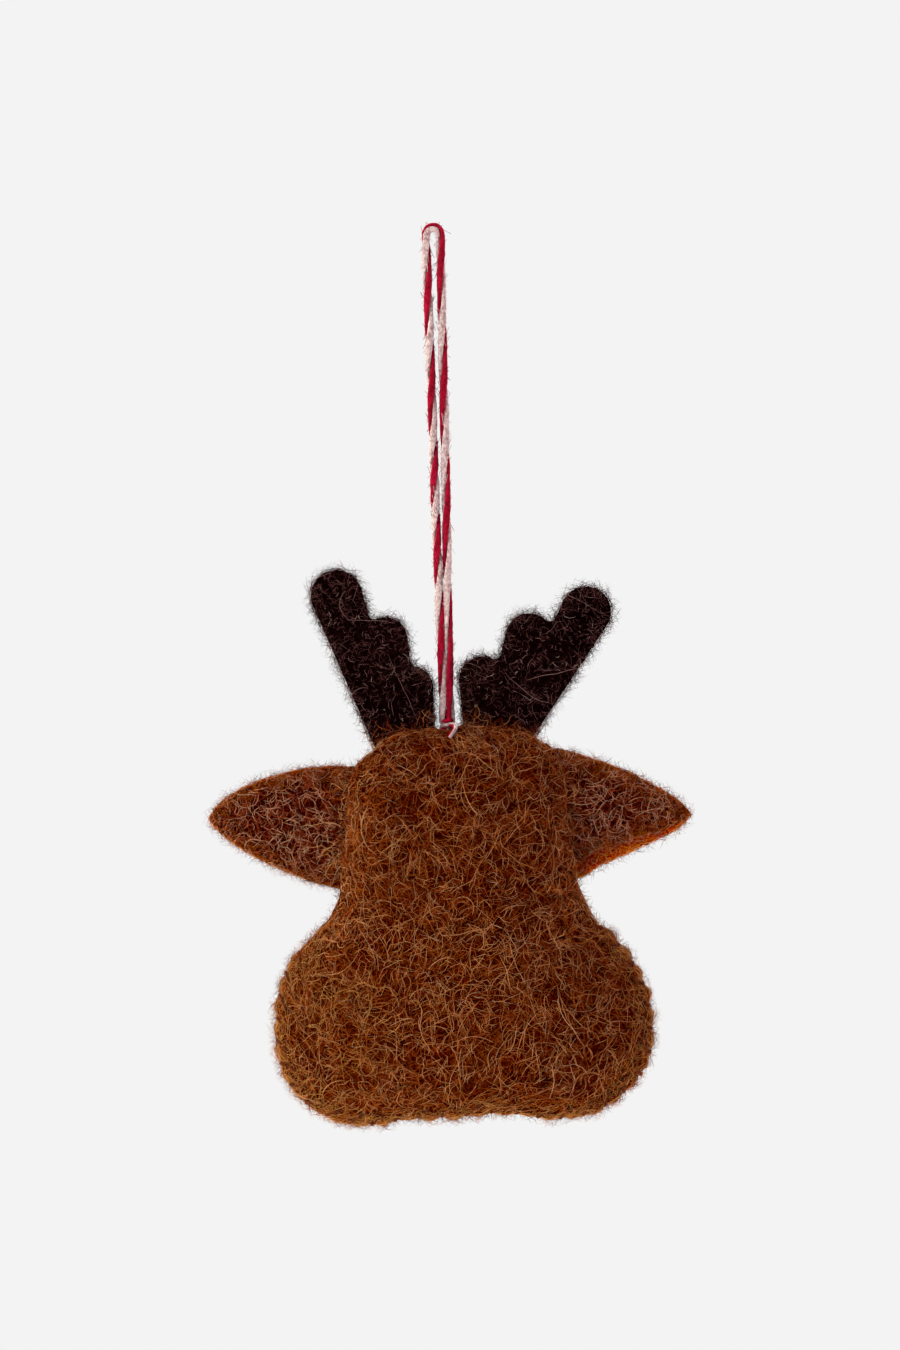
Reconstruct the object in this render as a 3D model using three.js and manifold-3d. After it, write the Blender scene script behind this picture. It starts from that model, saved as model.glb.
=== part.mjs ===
// A hanging ornament: a stuffed deer head of wool felt, with felt ears and antlers sewn into its seam.
// Millimetres, +Z up. The origin is the underside of the cord loop's top bend, where the ornament hangs.
// The face looks along -Y, the plain back along +Y, and the animal's left side is +X.

import * as THREE from 'three';
import { mergeVertices } from 'three/addons/utils/BufferGeometryUtils.js';
import Module from 'manifold-3d';

const wasm = await Module();
wasm.setup();

// Clearances
const clearance = 0.3;           // between neighbouring pieces
const flexClearance = 0.6;       // beside a felt root that bends in the seam

// Hanging cord, a two-ply twine in one long loop
const cordDiameter = 1.8;
const loopDrop = 99.2;           // hanging point to the middle of the knot
const knotRadius = 1.9;
const sewnEndLength = 6.5;       // each tail of the cord below the knot, inside the head
const sewnEndSpacing = 2.2;

// Head outline, from the back: a narrow crown over a wide muzzle of two lobes
const headShift = -1.4;          // the cord leaves the crown a little to the left of its middle
const crownRise = 0.3;           // crown edge above the middle of the knot
const headHeight = 80.1;
const crownFlat = 13;
const templeDrop = 14.1;
const templeHalf = 21.8;
const templeRound = 11.5;
const templeFlare = 0.03;
const cheekHang = 33;
const cheekSwell = 19.2;
const muzzleDrop = 59.3;
const muzzleHalf = 38.2;
const lobeDrop = 12.8;
const chinHalf = 16;
const chinFlat = 12;
const notchRise = 2;
const notchEase = 6;

// Felt panels and stuffing
const felt = 2.2;
const headDepth = 25;            // over both panels at the fullest point
const fullDrop = 50;             // the fullest point, below the crown
const crownPower = 2.3;
const edgePower = 0.8;
const liftFade = 7;              // how far along the seam a lifted stretch closes again
const liftReach = 0.54;          // ring where a lifted stretch has died out
const rimSteps = 84;
const panelRings = [1, 0.96, 0.88, 0.74, 0.54, 0.3];
const stuffingRings = [1, 0.75, 0.45];

// Overcast stitches that close the seam round the muzzle, from below one ear to below the other
const threadDiameter = 0.8;
const stitchPitch = 4.7;
const stitchInset = 2.6;         // needle holes, in from the edge
const stitchMargin = 7;          // first hole, below the ear's root

// Ears, two leaf-shaped layers of felt each, sewn into the seam at the temples. Each edge bows out from a straight
// line by two curve handles, the lower edge's tip handle first. The back layer is trimmed below, by a share of its
// root too, so that the front one shows as a band there.
const rootDepth = 4;             // felt caught in the seam
const rootSlant = 0.6;           // by which an ear's root drops inside the seam, clear of the antler's foot
const earFelt = 1.8;
const earEdge = 0.5;             // softened edge of the cut felt
const earSwing = THREE.MathUtils.degToRad(20);
const rootHandle = 0.3;          // share of an edge from the root to its handle
const tipHandle = 0.13;          // the same from the tip, which is blunt
const leftEar = {
  rootTop: 7.8,
  rootBottom: 31.6,
  reach: 49.5,
  tipDrop: 17.2,
  back: { upper: 4.8, lower: [2.6, 2.6], trim: 0.4 },
  front: { upper: 5.3, lower: [3.2, 3.2], trim: 0 },
};
const rightEar = {
  rootTop: 4.9,
  rootBottom: 31.2,
  reach: 46.7,
  tipDrop: 19.1,
  back: { upper: 2.8, lower: [0.8, -1], trim: 2.6 },
  front: { upper: 3.3, lower: [3, -1], trim: 0 },
};

// Antlers, one thick layer of felt each with three round tines, outermost first
const antlerFelt = 3.2;
const antlerEdge = 0.7;
const antlerSwing = THREE.MathUtils.degToRad(15);
const tineRootRadius = 3.2;
const leftAntler = {
  rootInner: 3.6,
  rootOuter: 16.5,
  tines: [{ out: 22.8, up: 26.7, radius: 5.4 }, { out: 13.3, up: 17.6, radius: 4.8 }],
  innerTine: { up: 8, radius: 4.4 },
};
const rightAntler = {
  rootInner: 1.4,
  rootOuter: 15.5,
  tines: [{ out: 27, up: 22.1, radius: 5.3 }, { out: 15.5, up: 17.4, radius: 5 }],
  innerTine: { up: 8.9, radius: 5.1 },
};

// Face
const eyeRadius = 2.4;
const eyeSpread = 9.2;           // from the middle line
const eyeDrop = 24;
const eyeStand = 0.9;            // bead centre above the felt
const noseHalfWidth = 9.5;
const noseHalfHeight = 6.8;
const noseDrop = 50.5;
const noseEdge = 1.2;
const noseSwell = 3.4;

// Finishes
function finish(color, roughness) {
  return new THREE.MeshStandardMaterial({ color, roughness, metalness: 0 });
}
const brownFelt = finish(0x5f2c14, 0.95);
const brownThread = finish(0x4a2311, 0.85);
const earBrownFelt = finish(0x5b2a1a, 0.95);
const amberFelt = finish(0xb5561c, 0.95);
const darkFelt = finish(0x241512, 0.95);
const noseFelt = finish(0x1b1210, 0.95);
const twine = finish(0xbe2742, 0.9);
const wadding = finish(0xe9e3d6, 1);
const blackBead = finish(0x0b0908, 0.15);

const cordRadius = cordDiameter / 2;
const cordSides = 8;
const seamGap = clearance / 2;   // each panel's rim off the middle plane
const crownZ = crownRise - loopDrop;

// Small tools for solids

function placed(name, geometry, material) {
  const mesh = new THREE.Mesh(geometry, material);
  mesh.name = name;
  return mesh;
}

function indexed(points, faces) {
  const geometry = new THREE.BufferGeometry();
  geometry.setAttribute('position', new THREE.Float32BufferAttribute(points.flat(), 3));
  geometry.setIndex(faces.flat());
  geometry.computeVertexNormals();
  return geometry;
}

function toSolid(geometry) {
  const bare = geometry.clone();
  bare.deleteAttribute('normal');
  bare.deleteAttribute('uv');
  const merged = mergeVertices(bare, 1e-4);
  const vertProperties = new Float32Array(merged.attributes.position.array);
  const triVerts = new Uint32Array(merged.index.array);
  return new wasm.Manifold(new wasm.Mesh({ numProp: 3, vertProperties, triVerts }));
}

function toGeometry(solid) {
  const { vertProperties, triVerts } = solid.getMesh();
  const geometry = new THREE.BufferGeometry();
  geometry.setAttribute('position', new THREE.BufferAttribute(vertProperties, 3));
  geometry.setIndex(new THREE.BufferAttribute(triVerts, 1));
  geometry.computeVertexNormals();
  return geometry;
}

function minus(geometry, ...cutters) {
  return toGeometry(cutters.reduce((solid, cutter) => solid.subtract(toSolid(cutter)), toSolid(geometry)));
}

// A flat piece cut from felt: its outline stands in XZ, and its layer runs from yBack towards -Y
function cutFelt(outline, thickness, yBack, edge) {
  const geometry = new THREE.ExtrudeGeometry(outline, {
    depth: thickness - 2 * edge,
    bevelThickness: edge,
    bevelSize: edge,
    bevelOffset: -edge,
    bevelSegments: 1,
    curveSegments: 9,
  });
  geometry.translate(0, 0, edge);
  geometry.rotateX(Math.PI / 2);
  geometry.translate(0, yBack, 0);
  return geometry;
}

// A route that is stepped point by point, so that its steps crowd where its points do, in a tight bend
class Route extends THREE.CatmullRomCurve3 {
  getPointAt(share, target) {
    return this.getPoint(share, target);
  }

  getTangentAt(share, target) {
    return this.getTangent(share, target);
  }
}

function tube(points, radius, sides, stepsPerPoint) {
  const section = new THREE.Shape();
  for (let k = 0; k < sides; k += 1) {
    const turn = (2 * Math.PI * k) / sides;
    const corner = [radius * Math.cos(turn), radius * Math.sin(turn)];
    if (k === 0) section.moveTo(...corner);
    else section.lineTo(...corner);
  }
  section.closePath();
  const extrudePath = new Route(points);
  const steps = stepsPerPoint * (points.length - 1);
  return new THREE.ExtrudeGeometry(section, { steps, extrudePath, curveSegments: 1 });
}

// Head outline in the head's own frame: x from its middle line, z from the crown's edge

function halfOutline(side) {
  const at = (x, drop) => new THREE.Vector2(side * x, -drop);
  const crown = at(0, 0);
  const temple = at(templeHalf, templeDrop);
  const muzzle = at(muzzleHalf, muzzleDrop);
  const chin = at(chinHalf, headHeight);
  const notch = at(0, headHeight - notchRise);
  const path = new THREE.CurvePath();
  path.add(new THREE.CubicBezierCurve(
    crown,
    at(crownFlat, 0),
    at(templeHalf - templeFlare * templeRound, templeDrop - templeRound),
    temple,
  ));
  path.add(new THREE.CubicBezierCurve(
    temple,
    at(templeHalf + templeFlare * cheekHang, templeDrop + cheekHang),
    at(muzzleHalf, muzzleDrop - cheekSwell),
    muzzle,
  ));
  path.add(new THREE.CubicBezierCurve(
    muzzle,
    at(muzzleHalf, muzzleDrop + lobeDrop),
    at(chinHalf + chinFlat, headHeight),
    chin,
  ));
  path.add(new THREE.CubicBezierCurve(
    chin,
    at(chinHalf - notchEase, headHeight),
    at(notchEase, headHeight - notchRise),
    notch,
  ));
  return path;
}

const fineSteps = 400;
const halves = { 1: halfOutline(1), '-1': halfOutline(-1) };
const middle = new THREE.Vector2(0, -fullDrop);
const rim = [
  ...halves[1].getSpacedPoints(rimSteps / 2).slice(0, -1),
  ...halves[-1].getSpacedPoints(rimSteps / 2).slice(1).reverse(),
];
const rimReach = rim.map((point) => point.distanceTo(middle));
const rimAim = rim.map((point) => point.clone().sub(middle).normalize());

// The point of the seam on one side where the outline has come down by this much
function rimAt(side, drop) {
  return halves[side].getSpacedPoints(fineSteps).find((point) => -point.y >= drop);
}

// The point of the seam on one side at this distance from the middle line, along the crown
function crownAt(side, out) {
  return halves[side].getSpacedPoints(fineSteps).find((point) => Math.abs(point.x) >= out);
}

// Roots that stand in the seam, and how far each lifts the panels there

const earHalf = seamGap + earFelt;
const earLift = earHalf / Math.cos(earSwing) + flexClearance;
const antlerLift = antlerFelt / 2 / Math.cos(antlerSwing) + flexClearance;
const knotLift = knotRadius + clearance;
const knotSpot = new THREE.Vector2(-headShift, -crownRise);

function earRoot(side, ear) {
  return { from: rimAt(side, ear.rootTop), to: rimAt(side, ear.rootBottom), lift: earLift };
}

function antlerRoot(side, antler) {
  return { from: crownAt(side, antler.rootInner), to: crownAt(side, antler.rootOuter), lift: antlerLift };
}

const roots = {
  leftEar: earRoot(1, leftEar),
  rightEar: earRoot(-1, rightEar),
  leftAntler: antlerRoot(1, leftAntler),
  rightAntler: antlerRoot(-1, rightAntler),
  knot: { from: knotSpot, to: knotSpot, lift: knotLift },
};

function distanceToRoot(point, { from, to }) {
  const line = new THREE.Line3(new THREE.Vector3(from.x, from.y, 0), new THREE.Vector3(to.x, to.y, 0));
  const spot = new THREE.Vector3(point.x, point.y, 0);
  return line.closestPointToPoint(spot, true, new THREE.Vector3()).distanceTo(spot);
}

const rimStep = halves[1].getLength() / (rimSteps / 2);
const rimLift = rim.map((point) => Math.max(...Object.values(roots).map((root) => {
  const past = distanceToRoot(point, root) - rimStep;
  return root.lift * (1 - THREE.MathUtils.smoothstep(past, 0, liftFade));
})));

// The head's swell: s runs from 0 at the fullest point to 1 at the seam.
// The seam's own outline eases into a round one on the way in, so that the dome has no ridges.

const easeSpan = 12;             // seam points on either side that the round outline is averaged over
const roundReach = rim.map((_, i) => {
  let sum = 0;
  for (let step = -easeSpan; step <= easeSpan; step += 1) sum += rimReach.at((i + step) % rimSteps);
  return sum / (2 * easeSpan + 1);
});

function reachAt(i, s) {
  return s * THREE.MathUtils.lerp(roundReach[i], rimReach[i], s);
}

function headSpot(i, s) {
  return rimAim[i].clone().multiplyScalar(reachAt(i, s)).add(middle);
}

function panelInside(i, s) {
  const lift = rimLift[i] * THREE.MathUtils.smoothstep(s, liftReach, panelRings[1]);
  const swell = (1 - s ** crownPower) ** edgePower;
  return seamGap + lift + (headDepth / 2 - felt - seamGap) * swell;
}

// How far the felt's outer face stands off the middle plane at a spot
function feltFace(spot) {
  const offset = spot.clone().sub(middle);
  const aimed = rimAim.map((aim) => aim.dot(offset));
  const i = aimed.indexOf(Math.max(...aimed));
  const spread = rimReach[i] - roundReach[i];
  const root = Math.sqrt(roundReach[i] ** 2 + 4 * spread * offset.length());
  const s = 2 * offset.length() / (roundReach[i] + root);
  return panelInside(i, Math.min(s, 1)) + felt;
}

// A domed solid between two faces, ring by ring from its outline in to its middle
function domed(count, rings, spot, nearFace, farFace) {
  const points = [];
  const faces = [];
  [nearFace, farFace].forEach((face) => {
    rings.forEach((s) => {
      for (let i = 0; i < count; i += 1) {
        const { x, y } = spot(i, s);
        points.push([x, face(i, s), y]);
      }
    });
    const { x, y } = spot(0, 0);
    points.push([x, face(0, 0), y]);
  });
  const half = rings.length * count + 1;
  const last = rings.length - 1;
  const at = (side, ring, i) => side * half + ring * count + (i % count);
  for (let i = 0; i < count; i += 1) {
    for (let ring = 0; ring < last; ring += 1) {
      const near = [at(0, ring, i), at(0, ring, i + 1), at(0, ring + 1, i + 1), at(0, ring + 1, i)];
      const far = near.map((v) => v + half);
      faces.push([near[0], near[2], near[1]], [near[0], near[3], near[2]]);
      faces.push([far[0], far[1], far[2]], [far[0], far[2], far[3]]);
    }
    faces.push([at(0, last, i + 1), at(0, last, i), half - 1]);
    faces.push([at(1, last, i), at(1, last, i + 1), 2 * half - 1]);
    faces.push([at(0, 0, i), at(0, 0, i + 1), at(1, 0, i)]);
    faces.push([at(0, 0, i + 1), at(1, 0, i + 1), at(1, 0, i)]);
  }
  return indexed(points, faces);
}

// Head

const head = new THREE.Group();
head.position.set(headShift, 0, crownZ);

const panelOutside = (i, s) => panelInside(i, s) + felt;
const flipped = (face) => (i, s) => -face(i, s);
const backPanel = domed(rimSteps, panelRings, headSpot, panelInside, panelOutside);
const frontPanel = domed(rimSteps, panelRings, headSpot, flipped(panelOutside), flipped(panelInside));

function eyeBead(side, radius) {
  const spot = new THREE.Vector2(side * eyeSpread, -eyeDrop);
  return new THREE.SphereGeometry(radius, 16, 10).translate(spot.x, -feltFace(spot) - eyeStand, spot.y);
}
const eyeDimples = [1, -1].map((side) => eyeBead(side, eyeRadius + clearance));

// One thread overcasts the seam: through both panels at each needle hole, and over the edge to the next
const threadRadius = threadDiameter / 2;
const threadOff = threadRadius + clearance;
const threadSides = 5;
const holeSides = 6;
const seam = new THREE.SplineCurve([
  ...halves[1].getSpacedPoints(fineSteps).filter((point) => -point.y > leftEar.rootBottom + stitchMargin),
  ...halves[-1].getSpacedPoints(fineSteps).filter((point) => -point.y > rightEar.rootBottom + stitchMargin)
    .reverse()
    .slice(1),
]);
seam.arcLengthDivisions = 4 * fineSteps;
const stitchCount = Math.floor(seam.getLength() / stitchPitch);

// A spot beside the seam, this many stitches along it and this far in from its edge
function besideSeam(stitch, inset) {
  const share = Math.min(stitch / stitchCount, 1);
  const along = seam.getTangentAt(share);
  return seam.getPointAt(share).add(new THREE.Vector2(along.y, -along.x).multiplyScalar(inset));
}

const threadRoute = [];
const needleHoles = [];
for (let stitch = 0; stitch <= stitchCount; stitch += 1) {
  const hole = besideSeam(stitch, stitchInset);
  const face = feltFace(hole) + threadOff;
  const edge = besideSeam(stitch + 0.5, 0);
  const crossing = besideSeam(stitch + 0.5, -threadOff);
  const corner = feltFace(edge) + threadOff;
  const isFirst = stitch === 0;
  const isLast = stitch === stitchCount;
  threadRoute.push(new THREE.Vector3(hole.x, isFirst ? 0 : face, hole.y));
  threadRoute.push(new THREE.Vector3(hole.x, isLast ? 0 : -face, hole.y));
  if (!isLast) {
    threadRoute.push(new THREE.Vector3(crossing.x, -corner, crossing.y));
    threadRoute.push(new THREE.Vector3(crossing.x, corner, crossing.y));
  }
  const needle = new THREE.CylinderGeometry(threadOff, threadOff, headDepth, holeSides);
  needleHoles.push(needle.translate(hole.x, 0, hole.y));
}

head.add(placed('back_panel', minus(backPanel, ...needleHoles), brownFelt));
head.add(placed('front_panel', minus(frontPanel, ...eyeDimples, ...needleHoles), brownFelt));
head.add(placed('seam_thread', tube(threadRoute, threadRadius, threadSides, 1), brownThread));
head.add(placed('left_eye', eyeBead(1, eyeRadius), blackBead));
head.add(placed('right_eye', eyeBead(-1, eyeRadius), blackBead));

const noseSteps = 24;
const noseRings = [1, 0.85, 0.5];
function noseSpot(i, s) {
  const turn = (2 * Math.PI * i) / noseSteps;
  const out = s * noseHalfWidth * Math.sin(turn);
  const up = s * noseHalfHeight * Math.cos(turn);
  return new THREE.Vector2(out, up - noseDrop);
}
const noseBack = (i, s) => -feltFace(noseSpot(i, s)) - clearance;
const noseFront = (i, s) => noseBack(i, s) - noseEdge - noseSwell * Math.sqrt(1 - s * s);
head.add(placed('nose', domed(noseSteps, noseRings, noseSpot, noseFront, noseBack), noseFelt));

// Stuffing fills the head, and stops short of the roots that stand in the seam
const rootCorner = Math.max(earHalf * Math.sin(earSwing), antlerFelt / 2 * Math.sin(antlerSwing));
const stuffingInset = rootDepth + rootCorner + flexClearance;
const neighbourSteps = [-3, -2, -1, 0, 1, 2, 3];
const stuffingScale = rim.map((point, i) => Math.min(...neighbourSteps.map((step) => {
  const j = (i + step + rimSteps) % rimSteps;
  const along = rim[(j + 1) % rimSteps].clone().sub(rim.at(j - 1)).normalize();
  const squareReach = Math.abs(rim[j].clone().sub(middle).cross(along));
  return (squareReach - stuffingInset) / Math.abs(point.clone().sub(middle).cross(along));
})));
const stuffingSpot = (i, s) => headSpot(i, s * stuffingScale[i]);
const stuffingFace = (i, s) => panelInside(i, s * stuffingScale[i]) - clearance;
const stuffing = domed(rimSteps, stuffingRings, stuffingSpot, flipped(stuffingFace), stuffingFace);

// The tails of the cord are caught under the knot
function sewnEnd(side, extra) {
  const x = knotSpot.x + side * sewnEndSpacing / 2;
  const top = knotSpot.y - knotRadius - clearance;
  const run = [0, 1].map((part) => new THREE.Vector3(x, 0, top - part * (sewnEndLength + extra)));
  return tube(run, cordRadius + extra, cordSides, 1);
}
head.add(placed('stuffing', minus(stuffing, sewnEnd(1, clearance), sewnEnd(-1, clearance)), wadding));
head.add(placed('cord_end_left', sewnEnd(1, 0), twine));
head.add(placed('cord_end_right', sewnEnd(-1, 0), twine));

// Ears: from the root's top along the upper edge to the tip, back along the lower edge, and into the seam

// Adds a curved edge. Each handle is its share of the way along, and its rise to the left of the straight line.
function bowTo(outline, to, ...handles) {
  const from = outline.currentPoint.clone();
  const run = to.clone().sub(from);
  const left = new THREE.Vector2(-run.y, run.x).normalize();
  const [near, far] = handles.map(([share, rise]) => (
    from.clone().addScaledVector(run, share).addScaledVector(left, rise)
  ));
  outline.bezierCurveTo(near.x, near.y, far.x, far.y, to.x, to.y);
}

function earOutline(side, ear, layer) {
  const from = rimAt(side, ear.rootTop);
  const tip = new THREE.Vector2(side * ear.reach, -ear.tipDrop);
  const to = rimAt(side, ear.rootBottom - layer.trim);
  const [lowerTip, lowerRoot] = layer.lower;
  const outline = new THREE.Shape();
  outline.moveTo(from.x - side * rootDepth, from.y - rootSlant);
  outline.lineTo(from.x, from.y);
  bowTo(outline, tip, [rootHandle, side * layer.upper], [1 - tipHandle, side * layer.upper]);
  bowTo(outline, to, [tipHandle, side * lowerTip], [1 - rootHandle, side * lowerRoot]);
  outline.lineTo(to.x - side * rootDepth, to.y);
  outline.closePath();
  return outline;
}

function addEar(name, side, ear) {
  const back = cutFelt(earOutline(side, ear, ear.back), earFelt, earHalf, earEdge);
  const front = cutFelt(earOutline(side, ear, ear.front), earFelt, -seamGap, earEdge);
  head.add(placed(`${name}_back`, back, earBrownFelt));
  head.add(placed(`${name}_front`, front, amberFelt));
}

addEar('left_ear', 1, leftEar);
addEar('right_ear', -1, rightEar);

// Antlers: three tapered tines that share one root in the seam

function tineOutline(root, rootRadius, tip, tipRadius) {
  const along = Math.atan2(tip.y - root.y, tip.x - root.x);
  const lean = Math.acos((rootRadius - tipRadius) / root.distanceTo(tip));
  const outline = new THREE.Shape();
  outline.absarc(tip.x, tip.y, tipRadius, along - lean, along + lean, false);
  outline.absarc(root.x, root.y, rootRadius, along + lean, along - lean + 2 * Math.PI, false);
  outline.closePath();
  return outline;
}

function addAntler(name, side, antler) {
  const cordEdge = sewnEndSpacing / 2 + cordRadius + clearance;
  const inner = antler.innerTine;
  const innermost = { ...inner, out: cordEdge - side * headShift + inner.radius };
  const tines = [...antler.tines, innermost];
  const first = antler.rootOuter - tineRootRadius;
  const last = antler.rootInner + tineRootRadius;
  const solids = tines.map((tine, k) => {
    const out = first + (last - first) * k / (tines.length - 1);
    const root = crownAt(side, out).clone();
    root.y += tineRootRadius - rootDepth;
    const tip = new THREE.Vector2(side * tine.out, tine.up);
    const outline = tineOutline(root, tineRootRadius, tip, tine.radius);
    return toSolid(cutFelt(outline, antlerFelt, antlerFelt / 2, antlerEdge));
  });
  const whole = solids.reduce((sum, solid) => sum.add(solid));
  head.add(placed(name, toGeometry(whole), darkFelt));
}

addAntler('left_antler', 1, leftAntler);
addAntler('right_antler', -1, rightAntler);

// Cord: up the left leg, over the bend it hangs by, and down the right leg

const ornament = new THREE.Group();
const cordRoute = [
  [1.0, 0, -96.7],
  [1.0, 0, -92],
  [1.0, 0, -86],
  [1.05, 0, -78],
  [1.1, 0, -70],
  [1.2, 0, -60],
  [1.25, 0, -50],
  [1.35, 0, -40],
  [1.4, 0, -30],
  [1.5, 0, -20],
  [1.6, 0, -10],
  [1.6, 0, -4],
  [1.6, 0, -0.7],
  [1.39, 0, 0.1],
  [0.8, 0, 0.69],
  [0, 0, 0.9],
  [-0.8, 0, 0.69],
  [-1.39, 0, 0.1],
  [-1.6, 0, -0.7],
  [-1.6, 0, -4],
  [-1.6, 0, -10],
  [-1.5, 0, -20],
  [-1.4, 0, -30],
  [-1.35, 0, -40],
  [-1.25, 0, -50],
  [-1.2, 0, -60],
  [-1.1, 0, -70],
  [-1.05, 0, -78],
  [-1.0, 0, -86],
  [-1.0, 0, -92],
  [-1.0, 0, -96.7],
].map((point) => new THREE.Vector3(...point));
ornament.add(placed('hanging_cord', tube(cordRoute, cordRadius, cordSides, 2), twine));

const knot = placed('cord_knot', new THREE.SphereGeometry(knotRadius, 16, 12), twine);
knot.position.set(0, 0, -loopDrop);
ornament.add(knot);
ornament.add(head);

export default ornament;
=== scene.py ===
import math

import bpy
import numpy as np
from mathutils import Matrix, Vector
from mathutils.bvhtree import BVHTree
from mathutils.kdtree import KDTree


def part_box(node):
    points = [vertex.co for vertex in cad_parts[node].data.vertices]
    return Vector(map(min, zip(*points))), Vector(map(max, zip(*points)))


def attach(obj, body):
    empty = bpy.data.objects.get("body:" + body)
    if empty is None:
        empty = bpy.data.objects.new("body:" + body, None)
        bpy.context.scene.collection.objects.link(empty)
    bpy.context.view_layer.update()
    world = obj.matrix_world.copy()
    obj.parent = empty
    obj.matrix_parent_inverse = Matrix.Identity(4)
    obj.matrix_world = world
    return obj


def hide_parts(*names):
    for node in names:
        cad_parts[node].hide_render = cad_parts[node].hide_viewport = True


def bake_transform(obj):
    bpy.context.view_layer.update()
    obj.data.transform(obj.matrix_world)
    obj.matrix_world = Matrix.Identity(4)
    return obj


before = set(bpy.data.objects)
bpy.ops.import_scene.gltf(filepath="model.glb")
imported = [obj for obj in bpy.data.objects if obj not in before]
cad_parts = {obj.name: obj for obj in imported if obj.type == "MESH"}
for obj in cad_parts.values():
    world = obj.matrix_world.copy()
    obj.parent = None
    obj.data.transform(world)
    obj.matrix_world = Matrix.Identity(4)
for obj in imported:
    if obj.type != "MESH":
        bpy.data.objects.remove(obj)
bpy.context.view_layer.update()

# Camera and studio: the ornament hangs free over a pale floor and is seen square from behind, with the picture
# turned by under two degrees. The main lamps stand on the left. Others fill in from the right, above, below and
# the front, and a small one lights the lower left edge.
MM = 0.001
scene = bpy.context.scene
scene.view_settings.view_transform = "Standard"

view_height = 0.270
view_distance = 1.0
view_middle_x, view_middle_z = -0.85 * MM, -88.7 * MM
view_roll = math.radians(1.65)

bpy.ops.object.select_all(action="DESELECT")
bpy.ops.object.camera_add()
camera = bpy.context.object
camera.data.lens = camera.data.sensor_width * view_distance / view_height
camera.data.clip_start = 0.05
turn_cos, turn_sin = math.cos(view_roll), math.sin(view_roll)
camera.matrix_world = Matrix((
    (-turn_cos, -turn_sin, 0, view_middle_x),
    (0, 0, 1, view_distance),
    (-turn_sin, turn_cos, 0, view_middle_z),
    (0, 0, 0, 1),
))
scene.camera = camera


def tint(red, green, blue):
    """A colour as it looks on screen, 0 to 255, as the linear one that a socket takes."""
    levels = [c / 255 for c in (red, green, blue)]
    return (*[c / 12.92 if c <= 0.04045 else ((c + 0.055) / 1.055) ** 2.4 for c in levels], 1)


def soft_lamp(name, place, size, power, colour=(1, 1, 1), aim_at=(0, 0, -0.12)):
    bpy.ops.object.light_add(type="AREA", location=place)
    lamp = bpy.context.object
    lamp.name = name
    lamp.data.size = size
    lamp.data.energy = power
    lamp.data.color = colour
    aim = Vector(aim_at) - Vector(place)
    lamp.rotation_euler = aim.to_track_quat("-Z", "Y").to_euler()


soft_lamp("key_lamp", (1.0, 0.5, 0.3), 0.6, 9.5, (1, 0.82, 0.74))
soft_lamp("side_lamp", (1.15, 0.06, 0.2), 0.5, 7.0, (0.96, 1, 0.78))
soft_lamp("top_lamp", (0.1, 0.2, 1.15), 0.5, 8.0, (1, 0.88, 0.8))
soft_lamp("right_lamp", (-1.15, 0.24, -0.1), 0.4, 9.0, (1, 0.72, 0.72))
soft_lamp("low_lamp", (0.12, 0.09, -0.29), 0.08, 0.27, (1, 0.96, 0.66), aim_at=(0.02, 0, -0.157))
soft_lamp("bounce_lamp", (0.05, 0.12, -0.85), 0.6, 2.7, (1, 0.92, 0.8))
soft_lamp("face_lamp", (0.3, -1.1, 0.3), 0.8, 10.0)


def fill_sockets(tree, node, sockets):
    """Each of these input sockets gets its value, or a link where the value is another node's output."""
    for socket, value in sockets.items():
        if isinstance(value, bpy.types.NodeSocket):
            tree.links.new(value, node.inputs[socket])
        else:
            node.inputs[socket].default_value = value


def new_node(tree, kind, sockets=None, **settings):
    node = tree.nodes.new(kind)
    for key, value in settings.items():
        setattr(node, key, value)
    fill_sockets(tree, node, sockets or {})
    return node


def new_material(name, sockets):
    """A material with these values on its Principled shader, its node tree and that shader."""
    material = bpy.data.materials.new(name)
    material.use_nodes = True
    shader = material.node_tree.nodes["Principled BSDF"]
    fill_sockets(material.node_tree, shader, sockets)
    return material, material.node_tree, shader


def seen_or_mirrored(tree):
    """A mask of the rays that show a surface itself, and not the light it gives."""
    rays = new_node(tree, "ShaderNodeLightPath")
    mask = rays.outputs["Is Camera Ray"]
    for kind in ("Is Glossy Ray", "Is Transmission Ray"):
        either = new_node(tree, "ShaderNodeMath", {0: mask, 1: rays.outputs[kind]}, operation="MAXIMUM")
        mask = either.outputs[0]
    return mask


backdrop_grey = tint(243, 243, 243)
world = bpy.data.worlds.new("studio")
scene.world = world
world.use_nodes = True
sky = world.node_tree
sky.nodes.clear()
ambient = new_node(sky, "ShaderNodeBackground", {"Color": (1, 0.82, 0.85, 1), "Strength": 0.23}).outputs[0]
backdrop = new_node(sky, "ShaderNodeBackground", {"Color": backdrop_grey}).outputs[0]
choose = new_node(sky, "ShaderNodeMixShader", {0: seen_or_mirrored(sky), 1: ambient, 2: backdrop})
new_node(sky, "ShaderNodeOutputWorld", {0: choose.outputs[0]})

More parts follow.
